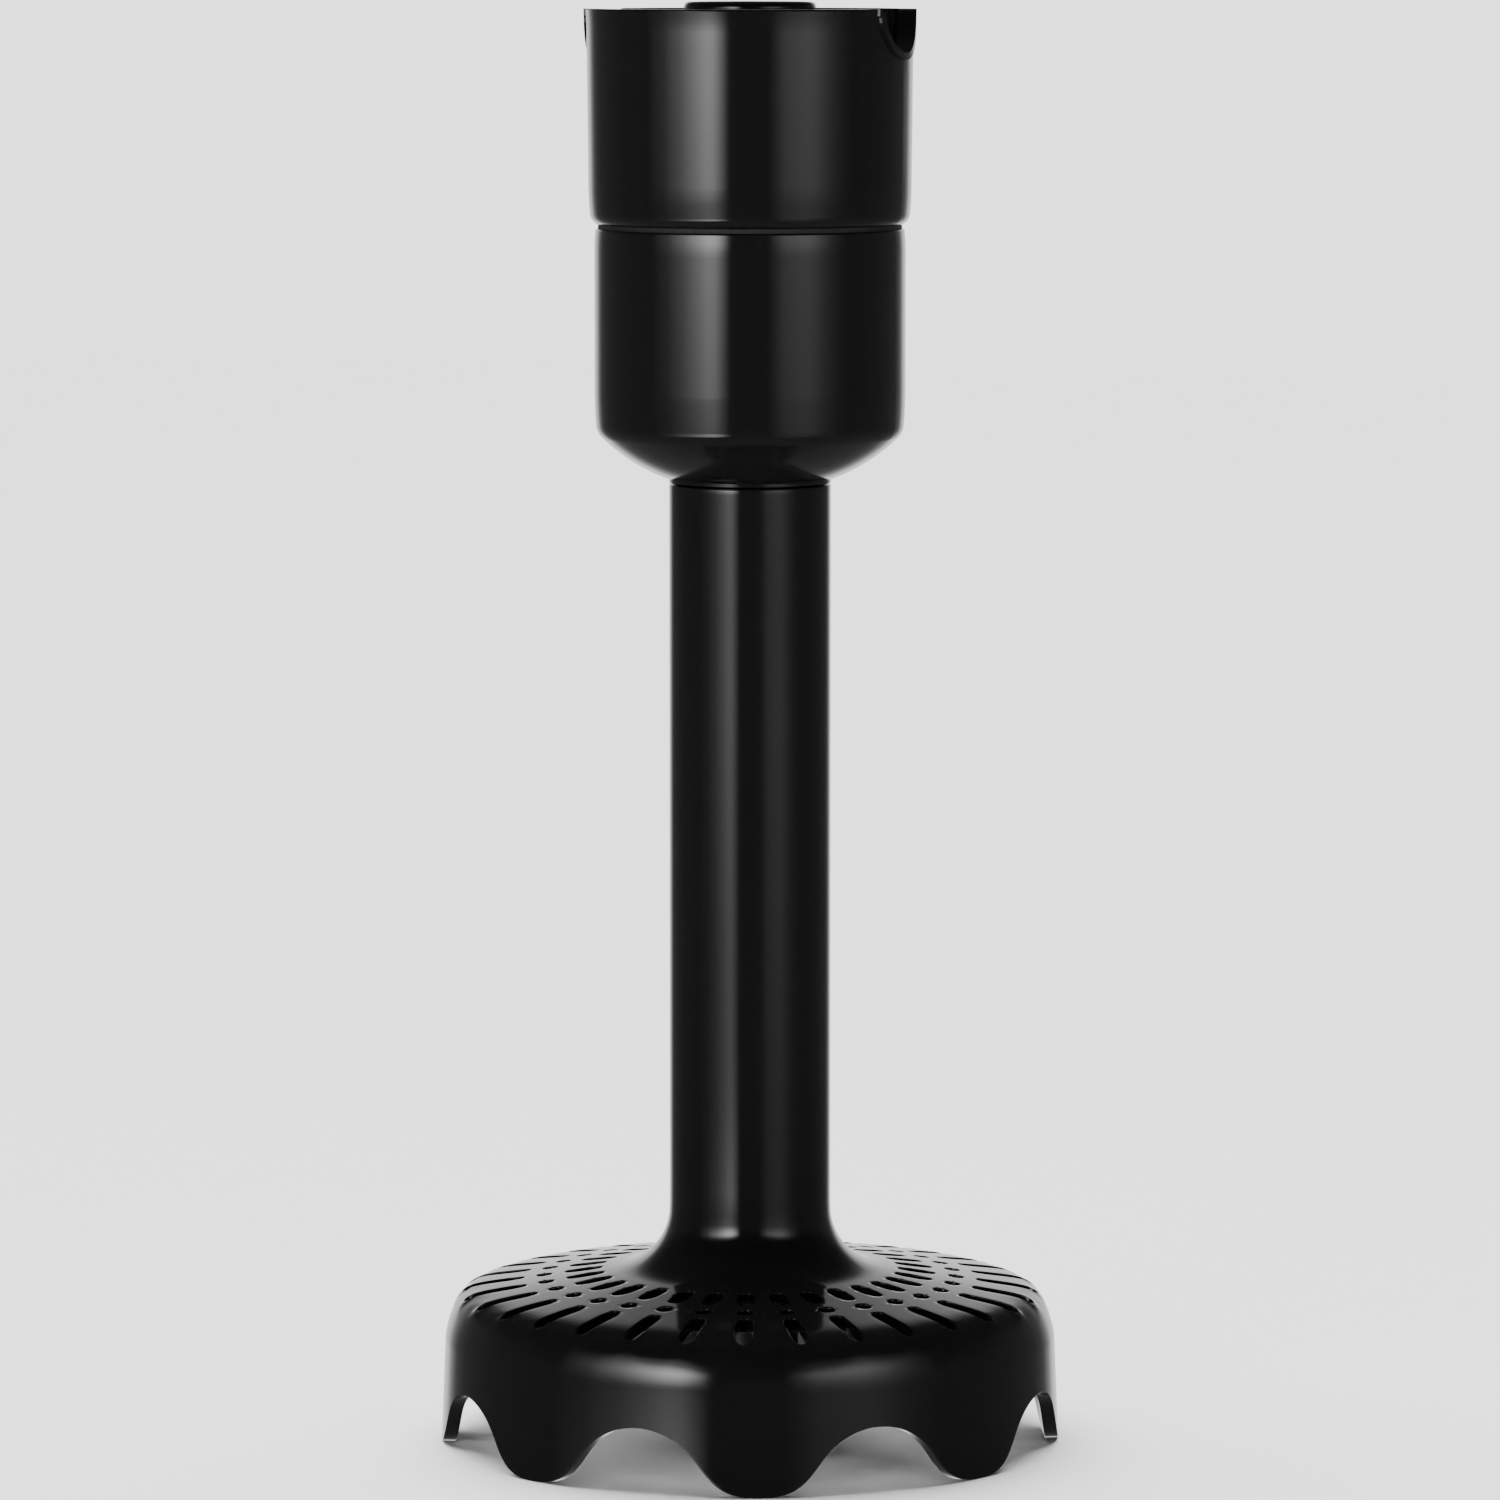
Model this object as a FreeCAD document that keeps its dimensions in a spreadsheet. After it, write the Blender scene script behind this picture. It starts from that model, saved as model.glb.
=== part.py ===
import FreeCAD, Part
import math
import os
import re
import Sketcher

# A potato-masher attachment for a stick blender, standing on its foot: the lobes' lowest
# points are at z = 0 and the drive axis is the Z axis. A motor body pushes down into the
# collar at the top and turns the drive coupling. Two planetary stages in the gearbox slow
# that down, and a shaft through the long foot turns the paddle under the perforated bell.

doc = FreeCAD.newDocument("masher_attachment")

SIZES = {
    # motor collar, with its floor and the tower round the coupling
    "rim_z": 228.87, "rim_r": 26.0, "collar_bore_r": 23.4, "collar_waist_r": 25.85,
    "collar_waist_z": 225.6, "collar_flare_arc": 40.0, "collar_low_r": 25.6,
    "collar_low_z": 201.0, "collar_low_arc": 45.0, "collar_foot_r": 25.36,
    "collar_foot_z": 196.5, "collar_foot_arc": 2.0,
    "groove_r": 24.2, "gasket": 0.7, "collar_floor_z": 198.5, "collar_floor": 2.5,
    "tower_r": 10.5, "tower_bore_r": 8.6, "tower_z": 230.0, "tower_edge": 0.9,
    "skirt_fit_r": 22.35, "skirt_bore_r": 20.6, "rim_edge": 0.3,
    # release notches in the collar's rim
    "notch_r": 7.2, "notch_depth": 6.84, "notch_corner": 1.5,
    "bead_width": 1.1, "bead_r": 26.35, "notch_inside_r": 18.0,
    # gearbox housing: cup, dome and the spigot that the foot locks on to
    "cup_r": 24.68, "cup_bore_r": 22.4, "cup_top_z": 194.2, "cup_edge": 0.3,
    "cup_edge_r": 24.52, "cup_high_z": 190.6, "cup_high_arc": 35.0,
    "cup_low_z": 168.6, "cup_low_arc": 69.0, "cup_corner_r": 24.46, "cup_corner_z": 163.1,
    "cup_corner_arc": 3.0, "dome_corner_r": 23.6, "dome_corner_z": 161.2, "dome_arc": 28.8,
    "neck_z": 154.0, "neck_height": 0.5, "ledge_z": 163.4, "ledge_r": 20.3,
    "floor_z": 157.0, "spigot_r": 9.1, "spigot_z": 137.0,
    "lug_r": 10.6, "lug_z": 139.0, "lug_height": 3.4, "lug_angle": 30,
    # screw posts, and the screws that hold collar, lid and housing together
    "post_pitch_r": 20.9, "post_r": 2.0, "post_clearance": 0.1, "post_angle": 90,
    "screw_hole_r": 1.2, "pilot_r": 0.9, "pilot_depth": 11,
    "head_r": 2.0, "head_height": 1.3, "head_recess_r": 2.25, "head_recess": 1.6,
    "screw_length": 18, "head_edge": 0.5,
    "cross_length": 2.4, "cross_width": 0.5, "cross_depth": 0.7,
    # lid that carries the input bearing
    "lid_r": 22.3, "lid_z": 186.8, "lid_thickness": 3.0, "lid_boss_r": 10.2,
    "lid_boss_z": 194.8, "lid_hole_r": 5.5,
    "bearing_r": 8.0, "bearing_z": 188.6, "bearing_height": 5.0, "clip_groove_r": 8.5,
    "clip_z": 193.7, "clip_height": 0.6, "clip_bore_r": 7.0, "clip_opening": 3.2,
    "clip_play": 0.05, "shield_from_r": 4.2, "shield_to_r": 6.6, "shield_depth": 0.4,
    # running and sliding gaps
    "running": 0.03, "seal_gap": 0.06, "face_gap": 0.6,
    # gear teeth, the same in both stages
    "module": 0.8, "pressure_angle": 25, "backlash": 0.1,
    "sun_teeth": 12, "planet_teeth": 15, "ring_teeth": 42, "gear_width": 7.0,
    "ring_gear_r": 22.3, "pin_r": 1.6, "carrier_r": 15.2, "carrier_thickness": 2.6,
    # heights of the two stages
    "carrier_2_z": 164.0, "carrier_1_z": 175.0, "sun_2_z": 167.2, "sun_1_z": 178.3,
    "carrier_hub_r": 7.0, "carrier_hub_z": 159.2, "stub_r": 3.0,
    # input side
    "input_r": 2.5, "input_z": 177.9, "input_top_z": 212.0,
    "input_collar_r": 3.4, "input_collar_z": 186.0,
    "coupling_r": 8.0, "coupling_z": 205.0, "coupling_top_z": 227.0,
    "pilot_bore_r": 3.0, "pilot_bore_z": 213.5, "spline_z": 218.0,
    "spline_r": 4.4, "spline_tip_r": 6.0, "spline_width": 2.2, "spline_count": 6,
    # output side
    "drive_r": 4.0, "drive_z": 12.0, "drive_edge": 0.5,
    "bush_r": 6.0, "bush_z": 145.0, "bush_flange_r": 7.6, "bush_flange": 1.5,
    "washer_r": 7.2, "washer": 0.5,
    "seal_r": 7.2, "seal_z": 138.4, "seal_top_z": 142.6, "seal_web_r": 4.6,
    # foot: long tube, flare, perforated bell and scalloped skirt
    "tube_r": 12.87, "tube_bore_r": 10.67, "tube_top_z": 153.8, "tube_edge": 0.4,
    "flare_r": 9.8, "flare_z": 37.6, "crown_slope": 8, "wall": 2.2,
    "shoulder_start_r": 43.9, "shoulder_r": 47.85, "shoulder_z": 21.3,
    "shoulder_arc": 4.96, "skirt_top_r": 49.0, "skirt_top_z": 15.4, "skirt_arc": 22.3,
    "foot_r": 49.62, "sleeve_r": 9.4, "sleeve_z": 134.0,
    "web_z": 27.0, "web_top_z": 29.0, "boss_z": 21.5, "boss_r": 8.2, "boss_top_r": 7.2,
    "foot_bush_r": 5.5, "foot_bush_z": 25.0, "foot_bush_top_z": 37.0,
    "foot_bush_flange": 1.2, "foot_seal_r": 6.4,
    # bayonet slots inside the top of the tube
    "slot_r": 10.95, "slot_gap": 0.4, "entry_angle": 34, "foot_turn": 35,
    # scallops between the lobes
    "lobes": 8, "arch_r": 11.8, "arch_z": 10.4, "lobe_arc": 8.6,
    # perforations: an inner slot, a round hole and an outer slot on each spoke
    "spokes": 32, "spoke_offset": 2.9, "slot_width": 2.75, "hole_r": 1.375, "hole_at": 33.1,
    "inner_slot_from": 23.6, "inner_slot_to": 29.9,
    "outer_slot_from": 36.2, "outer_slot_to": 46.5,
    # paddle and the cross pin that drives it
    "paddle_hub_r": 8.6, "paddle_z": 10.6, "paddle_hub_top_z": 21.0, "paddle_cap": 1.2,
    "paddle_bore_r": 4.3, "cross_pin_r": 1.25, "cross_pin_half": 6.9, "cross_pin_z": 16.5,
    "pin_slot_r": 7.2, "pin_slot_half": 1.55, "paddle_turn": 35,
    "blade_r": 43.0, "blade_z": 11.2, "blade_wall": 2.4, "blade_gap": 0.9, "blade_arc": 38.0,
}

sheet = doc.addObject("Spreadsheet::Sheet", "sizes")
for row, (alias, number) in enumerate(SIZES.items(), 1):
    sheet.set("A%d" % row, alias)
    sheet.set("B%d" % row, str(number))
    sheet.setAlias("B%d" % row, alias)
doc.recompute()


def bound(text):
    """The expression with every size named as a cell of the sheet."""
    return re.sub(r"[a-z]\w*", lambda m: "sizes." + m[0] if m[0] in SIZES else m[0], str(text))


def number(text):
    """What an expression of sizes comes to now."""
    return float(sheet.evalExpression(bound(text)))


PARTS = []


def new_body(label):
    body = doc.addObject("PartDesign::Body", label)
    body.Label = label
    PARTS.append(body)
    return body


def new_feature(label, shape, placement=None):
    """A sub-part whose outline comes from a formula, such as a gear."""
    feature = doc.addObject("Part::Feature", label)
    feature.Label = label
    feature.Shape = shape
    feature.Placement = placement or FreeCAD.Placement()
    PARTS.append(feature)
    return feature


def origin_item(body, role):
    return [item for item in body.Origin.OriginFeatures if item.Role == role][0]


def new_sketch(body, role, offset="0"):
    """A sketch on one of the body's own origin planes, moved along its normal."""
    sketch = body.newObject("Sketcher::SketchObject", body.Label + "_sketch")
    sketch.AttachmentSupport = [(origin_item(body, role), "")]
    sketch.MapMode = "FlatFace"
    sketch.setExpression("AttachmentOffset.Base.z", bound(offset))
    return sketch


def place(sketch, geometry, point, x, y):
    """Hold one point of a sketch at two expressions."""
    for kind, text in (("DistanceX", x), ("DistanceY", y)):
        index = sketch.addConstraint(Sketcher.Constraint(kind, geometry, point, number(text)))
        sketch.setExpression("Constraints[%d]" % index, bound(text))


def outline(sketch, corners):
    """Close an outline through corners (x, y). A third term makes the edge that arrives
    there an arc of that radius, bulging to the right of the travel if it is positive."""
    points = [FreeCAD.Vector(number(corner[0]), number(corner[1]), 0) for corner in corners]
    edges = []
    for index, corner in enumerate(corners):
        start, end = points[index - 1], points[index]
        if len(corner) == 2:
            edges.append((sketch.addGeometry(Part.LineSegment(start, end)), 1, 2))
            continue
        radius = number(corner[2])
        chord = end - start
        side = FreeCAD.Vector(chord.y, -chord.x, 0).normalize() * math.copysign(1, radius)
        sagitta = abs(radius) - math.sqrt(radius ** 2 - chord.Length ** 2 / 4)
        middle = (start + end) / 2 + side * sagitta
        if radius > 0:
            edges.append((sketch.addGeometry(Part.Arc(start, middle, end)), 1, 2))
        else:
            edges.append((sketch.addGeometry(Part.Arc(end, middle, start)), 2, 1))
    for index, (geometry, begin, finish) in enumerate(edges):
        following, its_begin, _ = edges[(index + 1) % len(edges)]
        sketch.addConstraint(
            Sketcher.Constraint("Coincident", geometry, finish, following, its_begin))
        place(sketch, geometry, finish, corners[index][0], corners[index][1])
        if len(corners[index]) == 3:
            radius = abs(number(corners[index][2]))
            held = sketch.addConstraint(Sketcher.Constraint("Radius", geometry, radius))
            sketch.setExpression("Constraints[%d]" % held, bound("abs(%s)" % corners[index][2]))


def circle(sketch, x, y, radius):
    centre = FreeCAD.Vector(number(x), number(y), 0)
    ring = Part.Circle(centre, FreeCAD.Vector(0, 0, 1), number(radius))
    geometry = sketch.addGeometry(ring)
    place(sketch, geometry, 3, x, y)
    held = sketch.addConstraint(Sketcher.Constraint("Radius", geometry, number(radius)))
    sketch.setExpression("Constraints[%d]" % held, bound(radius))


def slot(sketch, start, end, width):
    """A round-ended slot along the sketch's X axis, given by the ends it reaches."""
    half = number(width) / 2
    low, high = number(start) + half, number(end) - half
    up = FreeCAD.Vector(0, half, 0)
    near, far = FreeCAD.Vector(low, 0, 0), FreeCAD.Vector(high, 0, 0)
    out = FreeCAD.Vector(half, 0, 0)
    first = sketch.addGeometry(Part.Arc(near + up, near - out, near - up))
    below = sketch.addGeometry(Part.LineSegment(near - up, far - up))
    last = sketch.addGeometry(Part.Arc(far - up, far + out, far + up))
    above = sketch.addGeometry(Part.LineSegment(far + up, near + up))
    for geometry, following in ((first, below), (below, last), (last, above), (above, first)):
        sketch.addConstraint(Sketcher.Constraint("Tangent", geometry, 2, following, 1))
    for geometry, text in ((first, "%s + %s / 2"), (last, "%s - %s / 2")):
        place(sketch, geometry, 3, text % (start if geometry == first else end, width), "0")
        held = sketch.addConstraint(Sketcher.Constraint("Radius", geometry, half))
        sketch.setExpression("Constraints[%d]" % held, bound(width + " / 2"))


def changed(body, feature, adds):
    """Recompute, and stop if a feature that should add or cut did neither."""
    before = getattr(feature.BaseFeature, "Shape", None)
    doc.recompute()
    volume = before.Volume if before else 0
    if (feature.Shape.Volume > volume + 1e-6) != adds or "Invalid" in feature.State:
        raise RuntimeError("%s: %s did nothing" % (body.Label, feature.Label))
    return feature


def revolve(body, corners, angle="360"):
    """Turn a half profile (r, z) round the drive axis, evenly to both sides if partial."""
    sketch = new_sketch(body, "XZ_Plane")
    outline(sketch, corners)
    feature = body.newObject("PartDesign::Revolution", body.Label + "_turned")
    feature.Profile = sketch
    feature.ReferenceAxis = (sketch, ["V_Axis"])
    feature.setExpression("Angle", bound(angle))
    feature.Midplane = angle != "360"
    return changed(body, feature, adds=True)


def groove(body, corners):
    """Cut a half profile (r, z) all round the drive axis."""
    sketch = new_sketch(body, "XZ_Plane")
    outline(sketch, corners)
    feature = body.newObject("PartDesign::Groove", body.Label + "_groove")
    feature.Profile = sketch
    feature.ReferenceAxis = (sketch, ["V_Axis"])
    feature.Angle = 360
    return changed(body, feature, adds=False)


def pad(body, sketch, length):
    feature = body.newObject("PartDesign::Pad", body.Label + "_pad")
    feature.Profile = sketch
    feature.setExpression("Length", bound(length))
    return changed(body, feature, adds=True)


def pocket(body, sketch, depth, ahead=False):
    """Cut against the sketch's normal, or along it if ahead."""
    feature = body.newObject("PartDesign::Pocket", body.Label + "_pocket")
    feature.Profile = sketch
    feature.setExpression("Length", bound(depth))
    feature.Reversed = ahead
    return changed(body, feature, adds=False)


def polar(body, features, count):
    """Repeat features evenly round the drive axis."""
    pattern = body.newObject("PartDesign::PolarPattern", body.Label + "_pattern")
    pattern.Originals = features
    pattern.Axis = (origin_item(body, "Z_Axis"), [""])
    pattern.Angle = 360
    pattern.setExpression("Occurrences", bound(count))
    body.Tip = pattern
    doc.recompute()
    return pattern


def at_post(sketch, radius):
    """A circle on the first screw post's axis."""
    circle(sketch, "post_pitch_r * cos(post_angle)", "post_pitch_r * sin(post_angle)", radius)


# ---------------------------------------------------------------- fixed gearbox


def make_motor_collar():
    """Sleeve, floor and coupling tower in one moulding. Its skirt drops into the cup."""
    body = new_body("motor_collar")
    under_floor = "collar_floor_z - collar_floor"
    lid_top = "lid_z + lid_thickness"
    revolve(body, [
        ("skirt_bore_r", lid_top),
        ("skirt_fit_r", lid_top),
        ("skirt_fit_r", "cup_top_z + gasket"),
        ("groove_r", "cup_top_z + gasket"),
        ("collar_foot_r", "collar_foot_z", "collar_foot_arc"),
        ("collar_low_r", "collar_low_z", "collar_low_arc"),
        ("collar_waist_r", "collar_waist_z"),
        ("rim_r", "rim_z - rim_edge", "-collar_flare_arc"),
        ("rim_r - rim_edge", "rim_z", "rim_edge"),
        ("collar_bore_r", "rim_z"),
        ("collar_bore_r", "collar_floor_z"),
        ("tower_r", "collar_floor_z"),
        ("tower_r", "tower_z - tower_edge"),
        ("tower_r - tower_edge", "tower_z", "tower_edge"),
        ("tower_bore_r", "tower_z"),
        ("tower_bore_r", under_floor),
        ("skirt_bore_r", under_floor),
    ])
    # raised bead round each release notch, trimmed to a cylinder, then the notch itself
    centre = "(rim_z - notch_depth + notch_r)"
    reach = "sqrt((notch_r + notch_corner)^2 - (%s - rim_z + notch_corner)^2)" % centre
    corner_z = "(rim_z - notch_corner)"
    share = "(notch_r / (notch_r + notch_corner))"
    meet_y = "(%s) * %s" % (reach, share)
    meet_z = "%s - (%s - %s) * %s" % (centre, centre, corner_z, share)
    band_share = "((notch_r + bead_width) / (notch_r + notch_corner))"
    band_y = "(%s) * %s" % (reach, band_share)
    band_z = "%s - (%s - %s) * %s" % (centre, centre, corner_z, band_share)
    bead = new_sketch(body, "YZ_Plane", "groove_r - 0.2")
    outline(bead, [
        ("-(%s)" % reach, "rim_z"),
        ("-(%s)" % reach, "rim_z - bead_width"),
        ("-(%s)" % band_y, band_z, "bead_width - notch_corner"),
        (band_y, band_z, "notch_r + bead_width"),
        (reach, "rim_z - bead_width", "bead_width - notch_corner"),
        (reach, "rim_z"),
    ])
    beads = pad(body, bead, "bead_r - groove_r + 1")
    polar(body, [beads], "2")
    groove(body, [
        ("bead_r", "rim_z - 12"), ("bead_r + 6", "rim_z - 12"),
        ("bead_r + 6", "rim_z + 1"), ("bead_r", "rim_z + 1"),
    ])
    notch = new_sketch(body, "YZ_Plane", "notch_inside_r")
    outline(notch, [
        ("-(%s)" % reach, "rim_z + 4"),
        ("-(%s)" % reach, "rim_z"),
        ("-(%s)" % meet_y, meet_z, "-notch_corner"),
        (meet_y, meet_z, "notch_r"),
        (reach, "rim_z", "-notch_corner"),
        (reach, "rim_z + 4"),
    ])
    notches = pocket(body, notch, "12", ahead=True)
    polar(body, [notches], "2")
    # bosses under the floor, each with its screw hole and head recess
    boss = new_sketch(body, "XY_Plane", lid_top)
    at_post(boss, "post_r")
    bosses = pad(body, boss, "%s - (%s) + 0.5" % (under_floor, lid_top))
    hole = new_sketch(body, "XY_Plane", "collar_floor_z + 1")
    at_post(hole, "screw_hole_r")
    holes = pocket(body, hole, "12")
    recess = new_sketch(body, "XY_Plane", "collar_floor_z + 1")
    at_post(recess, "head_recess_r")
    recesses = pocket(body, recess, "head_recess + 1")
    polar(body, [bosses, holes, recesses], "3")
    # the bosses stand in the skirt's wall, trimmed back to its outside
    groove(body, [
        ("skirt_fit_r", lid_top + " - 1"), ("cup_r", lid_top + " - 1"),
        ("cup_r", "cup_top_z + gasket"), ("skirt_fit_r", "cup_top_z + gasket"),
    ])


def make_gearbox_housing():
    """Cup with a domed underside, three screw posts and the lugged spigot below it."""
    body = new_body("gearbox_housing")
    revolve(body, [
        ("seal_r", "spigot_z"),
        ("spigot_r", "spigot_z"),
        ("spigot_r", "neck_z"),
        ("tube_r", "neck_z"),
        ("tube_r", "neck_z + neck_height"),
        ("dome_corner_r", "dome_corner_z", "dome_arc"),
        ("cup_corner_r", "cup_corner_z", "cup_corner_arc"),
        ("cup_r", "cup_low_z", "cup_low_arc"),
        ("cup_r", "cup_high_z"),
        ("cup_edge_r", "cup_top_z - cup_edge", "cup_high_arc"),
        ("cup_edge_r - cup_edge", "cup_top_z", "cup_edge"),
        ("cup_bore_r", "cup_top_z"),
        ("cup_bore_r", "ledge_z"),
        ("ledge_r", "ledge_z"),
        ("ledge_r", "ledge_z - 1.9"),
        ("bush_flange_r + 2.4", "floor_z"),
        ("bush_r", "floor_z"),
        ("bush_r", "bush_z"),
        ("seal_web_r", "bush_z"),
        ("seal_web_r", "seal_top_z"),
        ("seal_r", "seal_top_z"),
    ])
    lug = revolve(body, [
        ("spigot_r - 0.3", "lug_z"), ("lug_r", "lug_z"),
        ("lug_r", "lug_z + lug_height"), ("spigot_r - 0.3", "lug_z + lug_height"),
    ], "lug_angle")
    polar(body, [lug], "3")
    post = new_sketch(body, "XY_Plane", "ledge_z - 0.5")
    at_post(post, "post_r")
    posts = pad(body, post, "lid_z - ledge_z + 0.5")
    pilot = new_sketch(body, "XY_Plane", "lid_z")
    at_post(pilot, "pilot_r")
    pilots = pocket(body, pilot, "pilot_depth")
    polar(body, [posts, pilots], "3")


def make_gearbox_lid():
    """Plate that closes the gear space and holds the input bearing."""
    body = new_body("gearbox_lid")
    revolve(body, [
        ("lid_hole_r", "lid_z"),
        ("lid_r", "lid_z"),
        ("lid_r", "lid_z + lid_thickness"),
        ("lid_boss_r", "lid_z + lid_thickness"),
        ("lid_boss_r", "lid_boss_z"),
        ("bearing_r", "lid_boss_z"),
        ("bearing_r", "clip_z + clip_height + clip_play"),
        ("clip_groove_r", "clip_z + clip_height + clip_play"),
        ("clip_groove_r", "clip_z - clip_play"),
        ("bearing_r", "clip_z - clip_play"),
        ("bearing_r", "bearing_z"),
        ("lid_hole_r", "bearing_z"),
    ])
    hole = new_sketch(body, "XY_Plane", "lid_z + lid_thickness + 1")
    at_post(hole, "screw_hole_r")
    holes = pocket(body, hole, "lid_thickness + 2")
    polar(body, [holes], "3")


def make_input_bearing():
    """Ball bearing of the 625 size, its shields set back between the two rings."""
    body = new_body("input_bearing")
    inner = "input_r + running"
    top = "bearing_z + bearing_height"
    revolve(body, [
        (inner, "bearing_z"), ("shield_from_r", "bearing_z"),
        ("shield_from_r", "bearing_z + shield_depth"),
        ("shield_to_r", "bearing_z + shield_depth"),
        ("shield_to_r", "bearing_z"), ("bearing_r", "bearing_z"),
        ("bearing_r", top), ("shield_to_r", top),
        ("shield_to_r", top + " - shield_depth"),
        ("shield_from_r", top + " - shield_depth"),
        ("shield_from_r", top), (inner, top),
    ])


def make_bearing_clip():
    """Spring ring above the bearing, open on one side."""
    body = new_body("bearing_clip")
    top = "clip_z + clip_height"
    revolve(body, [
        ("clip_bore_r", "clip_z"), ("clip_groove_r - clip_play", "clip_z"),
        ("clip_groove_r - clip_play", top), ("clip_bore_r", top),
    ])
    opening = new_sketch(body, "XY_Plane", top + " + 1")
    outline(opening, [
        ("0", "-clip_opening / 2"), ("clip_groove_r + 1", "-clip_opening / 2"),
        ("clip_groove_r + 1", "clip_opening / 2"), ("0", "clip_opening / 2"),
    ])
    pocket(body, opening, "clip_height + 2")


def make_collar_screws():
    """Three pan-head screws, each a turned blank with a cross recess in its head."""
    screws = []
    top = number("collar_floor_z - head_recess + head_height")
    under_head = number("collar_floor_z - head_recess")
    length = number("screw_length")
    cross = number("cross_length"), number("cross_width")
    cross_floor = top - number("cross_depth")
    for index in range(3):
        angle = math.radians(number("post_angle") + 120 * index)
        x = number("post_pitch_r") * math.cos(angle)
        y = number("post_pitch_r") * math.sin(angle)
        head = Part.makeCylinder(
            number("head_r"), number("head_height"), FreeCAD.Vector(x, y, under_head))
        rim = [edge for edge in head.Edges if abs(edge.CenterOfMass.z - top) < 1e-6]
        head = head.makeFillet(number("head_edge"), rim)
        shank_foot = FreeCAD.Vector(x, y, under_head - length)
        shank = Part.makeCylinder(number("pilot_r"), length, shank_foot)
        screw = head.fuse(shank)
        for width, depth in ((cross[0], cross[1]), (cross[1], cross[0])):
            corner = FreeCAD.Vector(x - width / 2, y - depth / 2, cross_floor)
            arm = Part.makeBox(width, depth, top + 1 - cross_floor, corner)
            screw = screw.cut(arm)
        screws.append(screw.removeSplitter())
    new_feature("collar_screws", Part.makeCompound(screws))


def make_collar_seal():
    """Flat rubber ring on the cup's rim, seen as the dark line under the collar."""
    body = new_body("collar_seal")
    revolve(body, [
        ("skirt_fit_r + 0.05", "cup_top_z"), ("groove_r - 0.1", "cup_top_z"),
        ("groove_r - 0.1", "cup_top_z + gasket"),
        ("skirt_fit_r + 0.05", "cup_top_z + gasket"),
    ])


def make_output_bush():
    """Flanged sintered bush in the spigot, under the output carrier."""
    body = new_body("output_bush")
    bore = "drive_r + running"
    revolve(body, [
        (bore, "bush_z"), ("bush_r", "bush_z"), ("bush_r", "floor_z"),
        ("bush_flange_r", "floor_z"), ("bush_flange_r", "floor_z + bush_flange"),
        (bore, "floor_z + bush_flange"),
    ])


def make_seal(label, outer, low, high):
    """Shaft seal with a hollow under its lip."""
    body = new_body(label)
    bore = "drive_r + seal_gap"
    revolve(body, [
        (bore, high), (bore, high + " - 0.6"), (bore + " + 0.7", high + " - 1.4"),
        (bore + " + 0.7", low + " + 0.6"), (bore, low), (outer, low), (outer, high),
    ][::-1])


def make_thrust_washer():
    """Thin washer that the output carrier's hub turns on."""
    body = new_body("thrust_washer")
    low = "floor_z + bush_flange"
    revolve(body, [
        ("drive_r + 0.1", low), ("washer_r", low),
        ("washer_r", low + " + washer"), ("drive_r + 0.1", low + " + washer"),
    ])


# ---------------------------------------------------------------- gears


def tooth_flank(teeth, radius, backlash):
    """Half the angle that a tooth spans at a radius, on the involute of its base circle."""
    pressure = math.radians(number("pressure_angle"))
    pitch_r = number("module") * teeth / 2
    thickness = math.pi * number("module") / 2 - backlash
    local = math.acos(min(1.0, pitch_r * math.cos(pressure) / radius))
    involute = math.tan(pressure) - pressure - (math.tan(local) - local)
    return thickness / (2 * pitch_r) + involute


def toothed_face(teeth, low_r, high_r, backlash):
    """Outline of a spur gear between its root and tip circles, a tooth on the +X axis."""
    base_r = number("module") * teeth / 2 * math.cos(math.radians(number("pressure_angle")))
    start_r = max(low_r, base_r)
    radii = [start_r, (start_r + high_r) / 2, high_r]
    halves = [tooth_flank(teeth, radius, backlash) for radius in radii]

    def point(radius, angle):
        return FreeCAD.Vector(radius * math.cos(angle), radius * math.sin(angle), 0)

    edges = []
    pitch = 2 * math.pi / teeth
    for index in range(teeth):
        middle = index * pitch
        left = [point(r, middle - half) for r, half in zip(radii, halves)]
        right = [point(r, middle + half) for r, half in zip(radii, halves)]
        after = middle + pitch - halves[0]
        if start_r > low_r:
            edges.append(Part.LineSegment(point(low_r, middle - halves[0]), left[0]))
        edges.append(Part.Arc(left[0], left[1], left[2]))
        edges.append(Part.Arc(left[2], point(high_r, middle), right[2]))
        edges.append(Part.Arc(right[2], right[1], right[0]))
        if start_r > low_r:
            edges.append(Part.LineSegment(right[0], point(low_r, middle + halves[0])))
        edges.append(Part.Arc(point(low_r, middle + halves[0]),
                              point(low_r, middle + pitch / 2), point(low_r, after)))
    return Part.Face(Part.Wire([edge.toShape() for edge in edges]))


def spur_gear(teeth, low_z, width):
    """Solid spur gear standing on low_z."""
    module = number("module")
    pitch_r = module * teeth / 2
    backlash = number("backlash") / 2
    face = toothed_face(teeth, pitch_r - 1.25 * module, pitch_r + module, backlash)
    face.translate(FreeCAD.Vector(0, 0, low_z))
    return face.extrude(FreeCAD.Vector(0, 0, width))


def bored(shape, radius, low_z, high_z):
    return shape.cut(Part.makeCylinder(radius, high_z - low_z, FreeCAD.Vector(0, 0, low_z)))


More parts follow.
